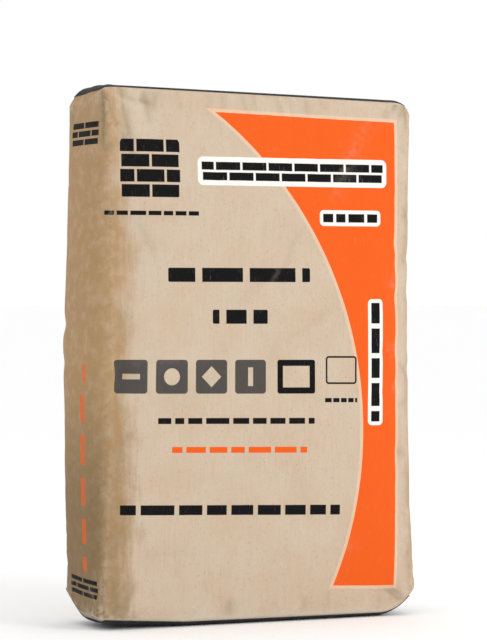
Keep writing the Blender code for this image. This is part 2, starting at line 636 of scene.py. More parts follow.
@dataclass
class Handling:
    """What handling has done to the paper: creases, dents, and the tube's own folds and seam."""

    form: SackForm
    seed: int
    corner_creases: int = 11
    edge_creases: int = 16
    rim_puckers: int = 20
    face_creases: int = 14
    dents: int = 34
    seam_place: float = 0.40
    seam_step: float = 0.0012
    seam_reach: float = 0.030
    creases: list[Crease] = field(init=False)

    def __post_init__(self) -> None:
        """Draw the creases from the seed."""
        self.random = np.random.default_rng(self.seed)
        self.creases = self.seen_creases() + self.corner_work() + self.edge_work()
        self.creases += self.rim_work() + self.face_work()

    def folds(self, up: float) -> tuple[float, float, float, float]:
        """Where the four upright folds lie on the sheet, from the back left one to the right.

        Args:
            up: The height, in metres.

        Returns:
            The four places round the tube.
        """
        net_up = 2.0 * up / self.form.height - 1.0
        corners = {
            Panel.LEFT: ((-1.0, 1.0), (-1.0, -1.0)),
            Panel.RIGHT: ((1.0, -1.0), (1.0, 1.0)),
        }
        return tuple(
            float(self.form.around(np.array([[across, along, net_up]]), panel)[0])
            for panel, ends in corners.items()
            for across, along in ends
        )

    def seen_creases(self) -> list[Crease]:
        """The creases that stand out on the sack: its front left fold, and wrinkles beside it."""
        top = self.form.height
        high, fold, low = (self.folds(up)[1] for up in (top, top / 2, 0.0))
        return [
            Crease((high - 0.007, top + 0.014), (high - 0.005, top - 0.080), 0.0036, 0.0032, 0.0010, 0.5),
            Crease((high + 0.010, top + 0.004), (high + 0.016, top - 0.066), -0.0012, 0.0040, 0.0015),
            Crease((high + 0.020, top + 0.004), (high + 0.034, top - 0.074), 0.0014, 0.0042, -0.0040),
            Crease((high + 0.036, top + 0.002), (high + 0.042, top - 0.058), -0.0011, 0.0042, 0.0020),
            Crease((high + 0.008, top - 0.046), (high + 0.040, top - 0.104), 0.0012, 0.0044, 0.0040),
            Crease((high + 0.046, top + 0.002), (high + 0.054, top - 0.050), 0.0010, 0.0042, 0.0020),
            Crease((high + 0.066, top + 0.002), (high + 0.060, top - 0.034), 0.0008, 0.0040, 0.0010),
            Crease((high + 0.090, top + 0.002), (high + 0.096, top - 0.030), 0.0006, 0.0045, 0.0010),
            Crease((high - 0.012, top - 0.012), (high - 0.004, top - 0.060), 0.0010, 0.0040, 0.0020),
            Crease((low + 0.001, -0.006), (low - 0.001, 0.070), 0.0026, 0.0030, -0.0012, 0.5),
            Crease((low + 0.010, 0.006), (low + 0.036, 0.064), 0.0011, 0.0044, 0.0040),
            Crease((low + 0.028, 0.006), (low + 0.070, 0.036), -0.0009, 0.0042, 0.0030),
            Crease((low + 0.006, 0.066), (low + 0.028, 0.130), 0.0008, 0.0050, 0.0030),
            Crease((fold + 0.003, 0.180), (fold + 0.022, 0.240), 0.0006, 0.0050, 0.0030),
            Crease((fold + 0.001, 0.330), (fold + 0.018, 0.392), 0.0006, 0.0050, -0.0020),
        ]

    def random_crease(
        self, place: tuple[float, float], angle: float, length: float, depth: float, width: float
    ) -> Crease:
        """A crease of about that length and depth.

        Args:
            place: Its middle on the sheet.
            angle: Its direction, in radians from level.
            length: Its length.
            depth: Its depth. Two in five come out as ridges.
            width: Its width.

        Returns:
            The crease.
        """
        length = length * self.random.uniform(0.55, 1.25)
        half = np.array([math.cos(angle), math.sin(angle)]) * length / 2
        sign = 1.0 if self.random.random() < 0.6 else -1.0
        return Crease(
            tuple(np.array(place) - half),
            tuple(np.array(place) + half),
            sign * depth * self.random.uniform(0.4, 1.2),
            width * self.random.uniform(0.7, 1.5),
            length * self.random.uniform(-0.10, 0.10),
            self.random.uniform(0.4, 1.6),
        )

    def corner_work(self) -> list[Crease]:
        """Creases that spread from the eight corners over the walls."""
        made = []
        for end in (0.0, self.form.height):
            inwards = math.pi / 2 if end == 0.0 else -math.pi / 2
            for fold in self.folds(end):
                for _ in range(self.corner_creases):
                    angle = inwards + self.random.uniform(-1.25, 1.25)
                    away = self.random.uniform(0.012, 0.055)
                    place = (fold + math.cos(angle) * away, end + math.sin(angle) * away)
                    made.append(self.random_crease(place, angle + 0.25, 0.044, 0.0010, 0.0038))
        return made

    def edge_work(self) -> list[Crease]:
        """Short creases across and beside the four upright folds."""
        made = []
        for fold in range(4):
            for _ in range(self.edge_creases):
                up = self.random.uniform(0.05, self.form.height - 0.05)
                place = (self.folds(up)[fold] + self.random.normal(0.0, 0.010), up)
                angle = self.random.uniform(-0.9, 0.9)
                made.append(self.random_crease(place, angle, 0.028, 0.0008, 0.0038))
        return made

    def rim_work(self) -> list[Crease]:
        """Short upright puckers where the paper turns over the two ends."""
        made = []
        for end, inwards in ((0.0, 1.0), (self.form.height, -1.0)):
            back_left, _, right, back_right = self.folds(end)
            for _ in range(self.rim_puckers * 2):
                around = self.random.uniform(back_left, back_right + right * 2)
                place = (around, end + inwards * self.random.uniform(0.012, 0.026))
                angle = math.pi / 2 + self.random.uniform(-0.35, 0.35)
                made.append(self.random_crease(place, angle, 0.036, 0.0006, 0.0036))
        return made

    def face_work(self) -> list[Crease]:
        """Long faint creases over the open faces."""
        made = []
        _, left, right, back_right = self.folds(self.form.height / 2)
        for start in (left, back_right):
            for _ in range(self.face_creases):
                place = (
                    start + self.random.uniform(0.1, 0.9) * right * 2,
                    self.random.uniform(0.08, self.form.height - 0.08),
                )
                angle = self.random.uniform(0.0, math.pi)
                made.append(self.random_crease(place, angle, 0.120, 0.00050, 0.0055))
        return made

    def crease_relief(self, sheet: np.ndarray) -> np.ndarray:
        """The height of all the creases together.

        Args:
            sheet: Places on the flat sheet, one a row, in metres.

        Returns:
            The heights, in metres.
        """
        return sum(crease.height(sheet) for crease in self.creases)

    def dent_relief(self, sheet: np.ndarray) -> np.ndarray:
        """Broad shallow dents and swellings over all four panels."""
        random = np.random.default_rng(self.seed + 1)
        height = np.zeros(len(sheet))
        back_left, _, right, back_right = self.folds(self.form.height / 2)
        for _ in range(self.dents):
            middle = (
                random.uniform(back_left, back_right + right * 2),
                random.uniform(0.0, self.form.height),
            )
            size = random.uniform(0.025, 0.060)
            reach = np.hypot(*((sheet - middle) / size).T)
            height += random.uniform(-0.0018, 0.0018) * np.exp(-(reach**2))
        return height

    def seam(self) -> float:
        """Where the glued seam's edge runs up the back, on the sheet."""
        _, _, right, back_right = self.folds(self.form.height / 2)
        return back_right + right * 2 * self.seam_place

    def seam_relief(self, sheet: np.ndarray) -> np.ndarray:
        """The overlap of the glued seam: a step up at its edge, and a slow fall behind it."""
        beyond = sheet[:, 0] - self.seam()
        step = 1.0 / (1.0 + np.exp(np.clip(-beyond / 0.0006, -60.0, 60.0)))
        return self.seam_step * step * np.exp(-np.maximum(0.0, beyond) / self.seam_reach)

    def relief(self, sheet: np.ndarray) -> np.ndarray:
        """The height of the creases, dents and seam together, in metres."""
        return self.crease_relief(sheet) + self.dent_relief(sheet) + self.seam_relief(sheet)


@dataclass
class PaperSkin:
    """The sack's paper skin: net, pressure, handling creases and the flat sheet's coordinates."""

    form: SackForm
    cells: tuple[int, int, int] = (72, 24, 108)
    crowding: float = 0.22
    pressure: float = 8.0
    frames: int = 20
    slack: float = 0.016
    pucker_share: float = 0.45
    most_move: float = 0.004
    smoothing: int = 60
    seed: int = 7
    thing: bpy.types.Object = field(init=False)
    handling: Handling = field(init=False)

    def net(self) -> bmesh.types.BMesh:
        """A cube from -1 to 1 whose edges are cut into the skin's cells.

        Returns:
            The net. Its cells crowd towards the folds.
        """
        net = bmesh.new()
        bmesh.ops.create_cube(net, size=2.0)
        for axis, count in enumerate(self.cells):
            along_axis = [
                edge for edge in net.edges if abs((edge.verts[0].co - edge.verts[1].co)[axis]) > 1.0
            ]
            bmesh.ops.subdivide_edges(net, edges=along_axis, cuts=count - 1, use_grid_fill=True)
        for corner in net.verts:
            corner.co = Vector(t * (1 + self.crowding) - self.crowding * t**3 for t in corner.co)
        return net

    def build(self) -> bpy.types.Object:
        """Build the skin.

        Returns:
            The skin, with its place, wear and sheet coordinates kept in the mesh.
        """
        net = self.net()
        mesh = bpy.data.meshes.new("paper_sack")
        net.to_mesh(mesh)
        net.free()
        places = coordinates(mesh)
        mesh.attributes.new(PLACE, "FLOAT_VECTOR", "POINT").data.foreach_set("vector", places.ravel())
        move_points(mesh, self.form.points(places))
        self.thing = bpy.data.objects.new("paper_sack", mesh)
        bpy.context.scene.collection.objects.link(self.thing)
        self.blow_up()
        self.refine()
        self.crease()
        self.keep_wear()
        self.lay_sheet()
        self.thing.data.shade_smooth()
        return self.thing

    def blow_up(self) -> None:
        """Puff the walls up as cloth with a little slack, and keep only the puckers that this makes.

        The ends are held. The slow swelling is taken off again, so the sack keeps its outline.
        """
        mesh = self.thing.data
        start = coordinates(mesh)
        held = self.thing.vertex_groups.new(name="held")
        held.add(np.nonzero(np.abs(kept_places(mesh)[:, 2]) > 0.999)[0].tolist(), 1.0, "REPLACE")
        cloth = self.thing.modifiers.new("cloth", "CLOTH")
        settings = cloth.settings
        settings.quality = 6
        settings.mass = 0.3
        settings.tension_stiffness = settings.compression_stiffness = 40
        settings.tension_damping = settings.compression_damping = settings.shear_damping = 5
        settings.shear_stiffness = 20
        settings.bending_stiffness = 0.1
        settings.air_damping = 2
        settings.use_pressure = True
        settings.uniform_pressure_force = self.pressure
        settings.shrink_min = -self.slack
        settings.vertex_group_mass = "held"
        settings.effector_weights.gravity = 0.0
        cloth.collision_settings.use_collision = False
        cloth.collision_settings.use_self_collision = False
        scene = bpy.context.scene
        for number in range(1, self.frames + 1):
            scene.frame_set(number)
        with_modifiers(self.thing)
        scene.frame_set(1)
        moved = coordinates(self.thing.data) - start
        puckers = (moved - smoothed(mesh, moved, self.smoothing)) * self.pucker_share
        length = np.linalg.norm(puckers, axis=1, keepdims=True)
        LOG.info("puckers up to %.1f mm, mean %.2f mm", length.max() * 1000, length.mean() * 1000)
        capped = puckers * np.minimum(1.0, self.most_move / np.maximum(length, 1e-9))
        move_points(self.thing.data, start + capped)

    def refine(self) -> None:
        """Give the skin one subdivision."""
        finer = self.thing.modifiers.new("finer", "SUBSURF")
        finer.levels = finer.render_levels = 1
        finer.uv_smooth = "NONE"
        with_modifiers(self.thing)

    def wall_sheet(self) -> np.ndarray:
        """Each point's place on the flat sheet, in metres: round the tube and up it."""
        net = kept_places(self.thing.data)
        on_side = np.abs(net[:, 0]) > np.abs(net[:, 1])
        choices = {
            Panel.FRONT: ~on_side & (net[:, 1] < 0),
            Panel.BACK: ~on_side & (net[:, 1] >= 0),
            Panel.LEFT: on_side & (net[:, 0] < 0),
            Panel.RIGHT: on_side & (net[:, 0] >= 0),
        }
        round_tube = np.zeros(len(net))
        for panel, chosen in choices.items():
            round_tube[chosen] = self.form.around(net[chosen], panel)
        return np.column_stack([round_tube, self.form.points(net)[:, 2]])

    def crease(self) -> None:
        """Press the folds, handling creases, dents and the glued seam into the walls."""
        mesh = self.thing.data
        net = kept_places(mesh)
        sheet = self.wall_sheet()
        wall = np.clip((1.0 - np.abs(net[:, 2])) / 0.004, 0.0, 1.0)
        self.handling = handling = Handling(self.form, self.seed)
        height = handling.relief(sheet) * wall
        move_points(mesh, coordinates(mesh) + normals(mesh) * height[:, None])
        pressed = np.clip(-handling.crease_relief(sheet) / 0.0015, -1.0, 1.0) * wall
        mesh.attributes.new(PRESSED, "FLOAT", "POINT").data.foreach_set("value", pressed)

    def keep_wear(self) -> None:
        """Keep with each point how worn the paper is: 1 at the rims and corners, 0 on open panels."""
        mesh = self.thing.data
        net = np.abs(kept_places(mesh))
        half_sizes = np.array([self.form.right_reach[0], self.form.half_depth[0], self.form.height / 2])
        gap = (1.0 - net) * half_sizes
        order = np.sort(gap, axis=1)
        rim = np.exp(-order[:, 1] / 0.006)
        corner = np.exp(-order[:, 2] / 0.035)
        wear = np.clip(rim * (0.25 + 0.75 * corner), 0.0, 1.0)
        mesh.attributes.new(WEAR, "FLOAT", "POINT").data.foreach_set("value", wear)

    def lay_sheet(self) -> None:
        """Give each face the coordinates of the flat paper sheet, in metres, as a UV map."""
        mesh = self.thing.data
        net = kept_places(mesh)
        corner_point = np.empty(len(mesh.loops), dtype=int)
        mesh.loops.foreach_get("vertex_index", corner_point)
        start = np.empty(len(mesh.polygons), dtype=int)
        mesh.polygons.foreach_get("loop_start", start)
        face_of_corner = np.repeat(np.arange(len(mesh.polygons)), np.diff(np.append(start, len(mesh.loops))))
        middle = np.zeros((len(mesh.polygons), 3))
        np.add.at(middle, face_of_corner, net[corner_point])
        middle = middle / np.bincount(face_of_corner)[:, None]
        corner_net, corner_middle = net[corner_point], middle[face_of_corner]
        facing = np.argmax(np.abs(corner_middle), axis=1)
        side = np.sign(corner_middle[np.arange(len(facing)), facing])
        places = self.form.points(corner_net)
        flat = np.zeros((len(mesh.loops), 2))
        for panel in Panel:
            chosen = (facing == panel.value[0]) & (side == panel.value[1])
            if panel in (Panel.TOP, Panel.FOOT):
                beyond = places[chosen, 1] + self.form.half_depth[2]
                edge = self.form.height if panel is Panel.TOP else 0.0
                flat[chosen, 0] = places[chosen, 0]
                flat[chosen, 1] = edge + panel.value[1] * beyond
            else:
                flat[chosen, 0] = self.form.around(corner_net[chosen], panel)
                flat[chosen, 1] = places[chosen, 2]
        mesh.uv_layers.new(name=SHEET).data.foreach_set("uv", flat.ravel())


@dataclass
class EndStrip:
    """The black paper strip pasted over one end, cut from the skin."""

    skin: PaperSkin
    end: End
    margin: float = 0.03
    thickness: float = 0.0008
    paste: float = 0.0003

    def build(self) -> bpy.types.Object:
        """Cut the strip from a copy of the skin's end and give it its thickness.

        Returns:
            The strip.
        """
        name = f"{self.end.name.lower()}_strip"
        mesh = self.skin.thing.data.copy()
        mesh.name = name
        net = kept_places(mesh)
        places, outwards = coordinates(mesh), normals(mesh)
        move_points(mesh, places + outwards * (self.paste + self.thickness))
        outside = (net[:, 2] * self.end.value < 0.9999) | (
            np.max(np.abs(net[:, :2]), axis=1) > 1.0 - self.margin
        )
        strip = bmesh.new()
        strip.from_mesh(mesh)
        strip.verts.ensure_lookup_table()
        bmesh.ops.delete(strip, geom=[strip.verts[i] for i in np.nonzero(outside)[0]], context="VERTS")
        strip.to_mesh(mesh)
        strip.free()
        thing = bpy.data.objects.new(name, mesh)
        bpy.context.scene.collection.objects.link(thing)
        wall = thing.modifiers.new("wall", "SOLIDIFY")
        wall.thickness = self.thickness
        wall.offset = -1.0
        with_modifiers(thing)
        thing.data.shade_smooth()
        return thing


@dataclass(frozen=True)
class Block:
    """A rectangle on the printed sheet: its middle, half its size and how round its corners are."""

    across: float
    up: float
    half_width: float
    half_height: float
    corner: float = 0.0


@dataclass(frozen=True)
class WordRow:
    """A row of plain bars that stands where a line of print would be."""

    block: Block
    pitch: float
    gap: float
    seed: float
    upright: bool = False


@dataclass(frozen=True)
class SheetPrint:
    """The generic print on the sack's front and left side, drawn as distances to plain shapes.

    Every shape is a signed distance in metres: below zero is inside it.
    """

    edge: float = 0.0006
    tilt_below: float = 0.42
    tilt_rate: float = 0.10
    panel_right: float = 0.184
    panel_top: float = 0.6175
    panel_top_fall: float = 0.03
    panel_foot: float = 0.0455
    arc_middle: tuple[float, float] = (-0.3467, 0.2312)
    arc_radius: float = 0.4833
    panel_border: float = 0.004
    emblem: Block = Block(-0.145, 0.550, 0.038, 0.036, 0.007)
    emblem_joint: float = 0.003
    side_emblem: Block = Block(-0.252, 0.592, 0.041, 0.0150, 0.004)
    side_emblem_foot: Block = Block(-0.252, 0.040, 0.041, 0.0125, 0.004)
    headline: Block = Block(0.044, 0.548, 0.1225, 0.012, 0.002)
    headline_halo: float = 0.0052
    brick: tuple[float, float] = (0.0350, 0.0125)
    brick_joint: float = 0.0028
    black_rows: tuple[WordRow, ...] = (
        WordRow(Block(-0.1425, 0.4965, 0.0605, 0.0026, 0.001), 0.018, 0.003, 0.37),
        WordRow(Block(-0.030, 0.423, 0.094, 0.0085, 0.002), 0.056, 0.009, 2.30),
        WordRow(Block(-0.030, 0.3725, 0.0365, 0.0085, 0.002), 0.040, 0.009, 5.15),
        WordRow(Block(-0.0335, 0.2465, 0.1035, 0.0036, 0.001), 0.026, 0.005, 7.70),
        WordRow(Block(-0.039, 0.1385, 0.145, 0.0060, 0.001), 0.036, 0.006, 9.20),
        WordRow(Block(0.106, 0.2715, 0.022, 0.0026), 0.010, 0.002, 4.60),
    )
    orange_rows: tuple[WordRow, ...] = (
        WordRow(Block(-0.0295, 0.2115, 0.0895, 0.0036, 0.001), 0.030, 0.005, 12.4),
        WordRow(Block(-0.243, 0.1875, 0.0058, 0.1265, 0.001), 0.052, 0.016, 5.45, upright=True),
    )
    haloed_rows: tuple[WordRow, ...] = (
        WordRow(Block(0.121, 0.493, 0.0375, 0.0052, 0.001), 0.022, 0.004, 6.40),
        WordRow(Block(0.1535, 0.3175, 0.0060, 0.072, 0.001), 0.036, 0.006, 8.80, upright=True),
    )
    row_halo: float = 0.0045
    tile_places: tuple[float, ...] = (-0.171, -0.1195, -0.068, -0.0165)
    tile_up: float = 0.3000
    tile_half: float = 0.0205
    tile_corner: float = 0.004
    frame_width: float = 0.0075
    outline_width: float = 0.0022
    frame_tile: Block = Block(0.045, 0.3000, 0.0255, 0.0205, 0.003)
    outlined_tile: Block = Block(0.106, 0.3080, 0.0210, 0.0170, 0.004)

    def block(self, sheet: tuple[Signal, Signal], shape: Block) -> Signal:
        """The distance to a rectangle, with round corners where it has them."""
        across = abs(sheet[0] - shape.across) - (shape.half_width - shape.corner)
        up = abs(sheet[1] - shape.up) - (shape.half_height - shape.corner)
        if not shape.corner:
            return across.high(up)
        beyond_across, beyond_up = across.high(0.0), up.high(0.0)
        beyond = (beyond_across * beyond_across + beyond_up * beyond_up).root()
        return beyond + across.high(up).low(0.0) - shape.corner

    def disc(self, sheet: tuple[Signal, Signal], middle: tuple[float, float], radius: float) -> Signal:
        """The distance to a disc."""
        across, up = sheet[0] - middle[0], sheet[1] - middle[1]
        return (across * across + up * up).root() - radius

    def word_row(self, board: Board, sheet: tuple[Signal, Signal], row: WordRow) -> Signal:
        """The distance to a row of bars of uneven length."""
        along = sheet[1] if row.upright else sheet[0]
        bars = row.gap / 2 - board.cell_edge(along / row.pitch, row.seed) * row.pitch
        return self.block(sheet, row.block).high(bars)

    def straight(self, sheet: tuple[Signal, Signal]) -> tuple[Signal, Signal]:
        """The sheet's place as the print sees it: the lower print sits slightly askew."""
        tilt = (self.tilt_below - sheet[1]).high(0.0) * self.tilt_rate
        return sheet[0], sheet[1] + sheet[0] * tilt

    def brickwork(
        self,
        sheet: tuple[Signal, Signal],
        start: tuple[float, float],
        brick: tuple[float, float],
        joint: float,
    ) -> Signal:
        """The distance to bricks laid in running bond.

        Args:
            sheet: The place on the sheet.
            start: The lower left corner of one brick.
            brick: A brick's length and height, with its joint.
            joint: The width of the joints.

        Returns:
            The distance to the nearest brick.
        """
        up = (sheet[1] - start[1]) / brick[1]
        course = up.floor()
        along = (sheet[0] - start[0]) / brick[0] + (course % 2.0) * 0.5
        from_end = 0.5 - abs(along % 1.0 - 0.5)
        from_bed = 0.5 - abs(up % 1.0 - 0.5)
        return joint / 2 - (from_end * brick[0]).low(from_bed * brick[1])

    def wall_emblem(self, sheet: tuple[Signal, Signal], shape: Block, courses: int, bricks: int) -> Signal:
        """The distance to a small brick wall.

        Args:
            sheet: The place on the sheet.
            shape: The wall's outline.
            courses: How many courses it has.
            bricks: How many bricks there are in a course.

        Returns:
            The distance.
        """
        outline = self.block(sheet, shape)
        brick = (shape.half_width * 2 / bricks, shape.half_height * 2 / courses)
        start = (shape.across - shape.half_width, shape.up - shape.half_height)
        return outline.high(self.brickwork(sheet, start, brick, self.emblem_joint))

    def tiles(self, sheet: tuple[Signal, Signal]) -> Signal:
        """The distance to the row of four square tiles, each with a plain figure left bare."""
        up, half = self.tile_up, self.tile_half
        figures = (
            self.block(sheet, Block(self.tile_places[0], up, half * 0.55, half * 0.16)),
            self.disc(sheet, (self.tile_places[1], up), half * 0.5),
            self.lozenge(sheet, (self.tile_places[2], up), half * 0.62),
            self.block(sheet, Block(self.tile_places[3], up, half * 0.16, half * 0.55)),
        )
        return self.nearest(
            [
                self.block(sheet, Block(place, up, half, half, self.tile_corner)).high(0.0 - figure)
                for place, figure in zip(self.tile_places, figures)
            ]
        )

    def lozenge(self, sheet: tuple[Signal, Signal], middle: tuple[float, float], reach: float) -> Signal:
        """The distance to a square that stands on its corner."""
        return (abs(sheet[0] - middle[0]) + abs(sheet[1] - middle[1]) - reach) * math.sqrt(0.5)

    def ring(self, distance: Signal, width: float) -> Signal:
        """The distance to the rim, of that width, just inside a shape."""
        return distance.high(0.0 - (distance + width))

    def panel(self, sheet: tuple[Signal, Signal]) -> Signal:
        """The distance to the colour panel with its one curved side."""
        over = sheet[1] + sheet[0] * self.panel_top_fall - self.panel_top
        sides = (sheet[0] - self.panel_right).high(over)
        sides = sides.high(self.panel_foot - sheet[1])
        return sides.high(0.0 - self.disc(sheet, self.arc_middle, self.arc_radius))

    def inked(self, distance: Signal, grow: float = 0.0) -> Signal:
        """1 inside a shape that is grown by so much, 0 outside."""
        return distance.steps(grow + self.edge / 2, grow - self.edge / 2)

    def nearest(self, distances: Sequence[Signal]) -> Signal:
        """The distance to the nearest of several shapes."""
        found = distances[0]
        for distance in distances[1:]:
            found = found.low(distance)
        return found

    def masks(self, board: Board) -> dict[str, Signal]:
        """Where each ink lies on the sheet.

        Args:
            board: The paper's board.

        Returns:
            A mask for each of the border, orange, white, grey and black inks, in printing order.
        """
        sheet = self.straight(board.sheet_place())
        panel = self.panel(sheet)
        headline = self.block(sheet, self.headline)
        start = (self.headline.across - self.brick[0] * 3.5, self.headline.up - self.brick[1])
        bricks = headline.high(self.brickwork(sheet, start, self.brick, self.brick_joint))
        haloed = self.nearest([self.word_row(board, sheet, row) for row in self.haloed_rows])
        halo = self.inked(headline, self.headline_halo).high(self.inked(haloed, self.row_halo))
        emblems = [
            self.wall_emblem(sheet, self.emblem, 4, 2),
            self.wall_emblem(sheet, self.side_emblem, 3, 2),
            self.wall_emblem(sheet, self.side_emblem_foot, 3, 2),
        ]
        rows = [self.word_row(board, sheet, row) for row in self.black_rows]
        frame_tile = self.ring(self.block(sheet, self.frame_tile), self.frame_width)
        outlined = self.ring(self.block(sheet, self.outlined_tile), self.outline_width)
        black = self.nearest([bricks, haloed, frame_tile, outlined] + emblems + rows)
        orange = self.nearest([self.word_row(board, sheet, row) for row in self.orange_rows])
        return {
            "border": self.inked(panel, self.panel_border),
            "orange": self.inked(panel).high(self.inked(orange)),
            "white": halo,
            "grey": self.inked(self.tiles(sheet)),
            "black": self.inked(black),
        }


@dataclass(frozen=True)
class KraftPaper:
    """Brown kraft paper, pale on its faces, with worn folds, the sack's print and some painted shade."""

    seam: float
    back_right_fold: float
    back_width: float = 0.418
    seam_width: float = 0.030
    seam_end: float = 0.004
    seam_rag: float = 0.0012
    pale: Colour = (0.520, 0.425, 0.325, 1.0)
    warm: Colour = (0.500, 0.380, 0.270, 1.0)
    brown: Colour = (0.368, 0.228, 0.106, 1.0)
    shade_and_glue: Colour = (0.250, 0.190, 0.115, 1.0)
    worn: Colour = (0.600, 0.520, 0.420, 1.0)
    speck: Colour = (0.170, 0.110, 0.065, 1.0)
    dust: Colour = (0.560, 0.540, 0.500, 1.0)
    low_dark: Colour = (0.100, 0.075, 0.030, 1.0)
    left_fold: float = -0.206
    right_fold: float = 0.212
    # The brown's reach onto the front past its left fold, wider lower down; there it is also painted shade.
    brown_reach: Levels = (0.005, 0.040)
    wider_below: Levels = (0.54, 0.42)
    wider: float = 0.008
    right_reach: Levels = (0.020, -0.004)
    right_share: float = 0.55
    behind_reach: Levels = (0.030, 0.0)
    back_left_reach: Levels = (-0.045, -0.005)
    low_dark_reach: Levels = (0.340, 0.120)
    low_dark_side: Levels = (0.012, -0.006)
    low_dark_shares: tuple[float, float] = (0.34, 0.22)
    side_print: Levels = (-0.15, -0.18)
    patches: Noise = Noise((16.0, 16.0, 16.0))
    patch_size: float = 0.060
    streaks: Noise = Noise((150.0, 60.0, 14.0), 3.0)
    streak_size: float = 0.030
    clouds: Noise = Noise((15.0, 15.0, 15.0), 5.0, 0.62, (0.38, 0.66))
    blotches: Noise = Noise((70.0, 70.0, 70.0), levels=(0.42, 0.70))
    fibres: Noise = Noise((260.0, 260.0, 34.0), 4.0, 0.65, (0.40, 0.75))
    flecks: Noise = Noise((900.0, 900.0, 300.0), 2.0, 0.5, (0.62, 0.70))
    fine: Noise = Noise((700.0, 700.0, 90.0), 3.0)
    crumples: Noise = Noise((130.0, 130.0, 130.0))
    ink_gaps: Levels = (0.60, 0.80)
    rubbed_levels: Levels = (0.35, 0.60)
    worn_levels: Levels = (0.40, 0.58)
    dusty_levels: Levels = (0.55, 0.75)
    foot_dust: Levels = (0.016, 0.004)
    low_dust: Levels = (0.05, 0.0)
    print_layout: SheetPrint = SheetPrint()
    border_ink: Colour = (0.830, 0.500, 0.310, 1.0)
    orange_ink: Colour = (0.715, 0.098, 0.010, 1.0)
    white_ink: Colour = (0.760, 0.740, 0.700, 1.0)
    grey_ink: Colour = (0.042, 0.040, 0.040, 1.0)
    black_ink: Colour = (0.004, 0.0035, 0.004, 1.0)

    def brown_and_shade(self, board: Board, place: Signal, sheet: tuple[Signal, Signal]) -> Signal:
        """Brown paper and painted shade: full on the left side, half on the right, patchy at the folds.

        Args:
            board: The paper's board.
            place: The place on the object.
            sheet: The place on the sheet.

        Returns:
            0 on the pale faces to 1 on the brown paper, which on the left is also painted shade.
        """
        patches = (board.noise(place, self.patches) - 0.5) * self.patch_size
        streaks = (board.noise(place, self.streaks) - 0.5) * self.streak_size
        wider = sheet[1].steps(*self.wider_below) * self.wider
        from_left = sheet[0] - self.left_fold + patches + streaks - wider
        near, far = self.brown_reach
        left = from_left.steps(far, near)
        on_right = (self.right_fold - sheet[0] + patches).steps(*self.right_reach)
        behind = sheet[0] - self.back_right_fold + patches
        right = on_right * behind.steps(*self.behind_reach) * self.right_share
        back_left = (behind - self.back_width).steps(*self.back_left_reach)
        return left.high(right).high(back_left)

    def darkening_low(self, sheet: tuple[Signal, Signal], brown_and_shade: Signal) -> Signal:
        """How much the brown paper darkens towards the foot, most on the left side."""
        low = sheet[1].steps(*self.low_dark_reach)
        on_side = (sheet[0] - self.left_fold).steps(*self.low_dark_side)
        side_share, share = self.low_dark_shares
        return brown_and_shade * low * (on_side * side_share + share)

    def mottle(self, board: Board, place: Signal, brown_and_shade: Signal) -> Signal:
        """The bare paper's colour, with its clouds, fibres and specks.

        Args:
            board: The paper's board.
            place: The place on the object.
            brown_and_shade: How brown the paper is, with painted shade on the left.

        Returns:
            The colour.
        """
        paper = board.mix(board.noise(place, self.clouds) * 0.7, self.pale, self.warm)
        # Brown paper; on the left side and round the front's left fold this brown is also painted shade.
        paper = board.mix(brown_and_shade * 0.95, paper, self.brown)
        blotch = board.noise(place, self.blotches) * (0.16 + brown_and_shade * 0.22)
        paper = board.mix(blotch, paper, self.warm)
        fibre = board.noise(place, self.fibres) * (0.14 + brown_and_shade * 0.24)
        paper = board.mix(fibre, paper, self.brown)
        return board.mix(board.noise(place, self.flecks) * 0.28, paper, self.speck)

    def printed(
        self, board: Board, paper: Signal, sheet: tuple[Signal, Signal], brown_and_shade: Signal, fine: Signal
    ) -> Signal:
        """Lay the inks on the paper.

        Args:
            board: The paper's board.
            paper: The paper's colour.
            sheet: The place on the sheet.
            brown_and_shade: How brown the paper is, with painted shade on the left.
            fine: The paper's grain, which leaves small gaps in the ink.

        Returns:
            The colour with the print.
        """
        cover = 1.0 - fine.steps(*self.ink_gaps) * 0.14
        inks = {
            "border": (self.border_ink, 0.45),
            "orange": (self.orange_ink, 1.0 - brown_and_shade * sheet[0].steps(*self.side_print) * 0.35),
            "white": (self.white_ink, 1.0),
            "grey": (self.grey_ink, 0.94),
            "black": (self.black_ink, 1.0),
        }
        for name, mask in self.print_layout.masks(board).items():
            colour, strength = inks[name]
            paper = board.mix(mask * cover * strength, paper, colour)
        return paper

    def material(self) -> bpy.types.Material:
        """Build the paper's material.

        Returns:
            The material.
        """
        board = Board("kraft_paper")
        place = board.object_place()
        sheet = board.sheet_place()
        fine = board.noise(place, self.fine)
        crumple = board.noise(place, self.crumples)
        brown_and_shade = self.brown_and_shade(board, place, sheet)
        paper = self.mottle(board, place, brown_and_shade)
        # Darker towards the foot, most on the brown left side.
        paper = board.mix(self.darkening_low(sheet, brown_and_shade), paper, self.low_dark)
        pressed = board.attribute(PRESSED)
        # Painted shade: the crease valleys are darkened.
        paper = board.mix(pressed.high(0.0) * 0.70, paper, self.shade_and_glue)
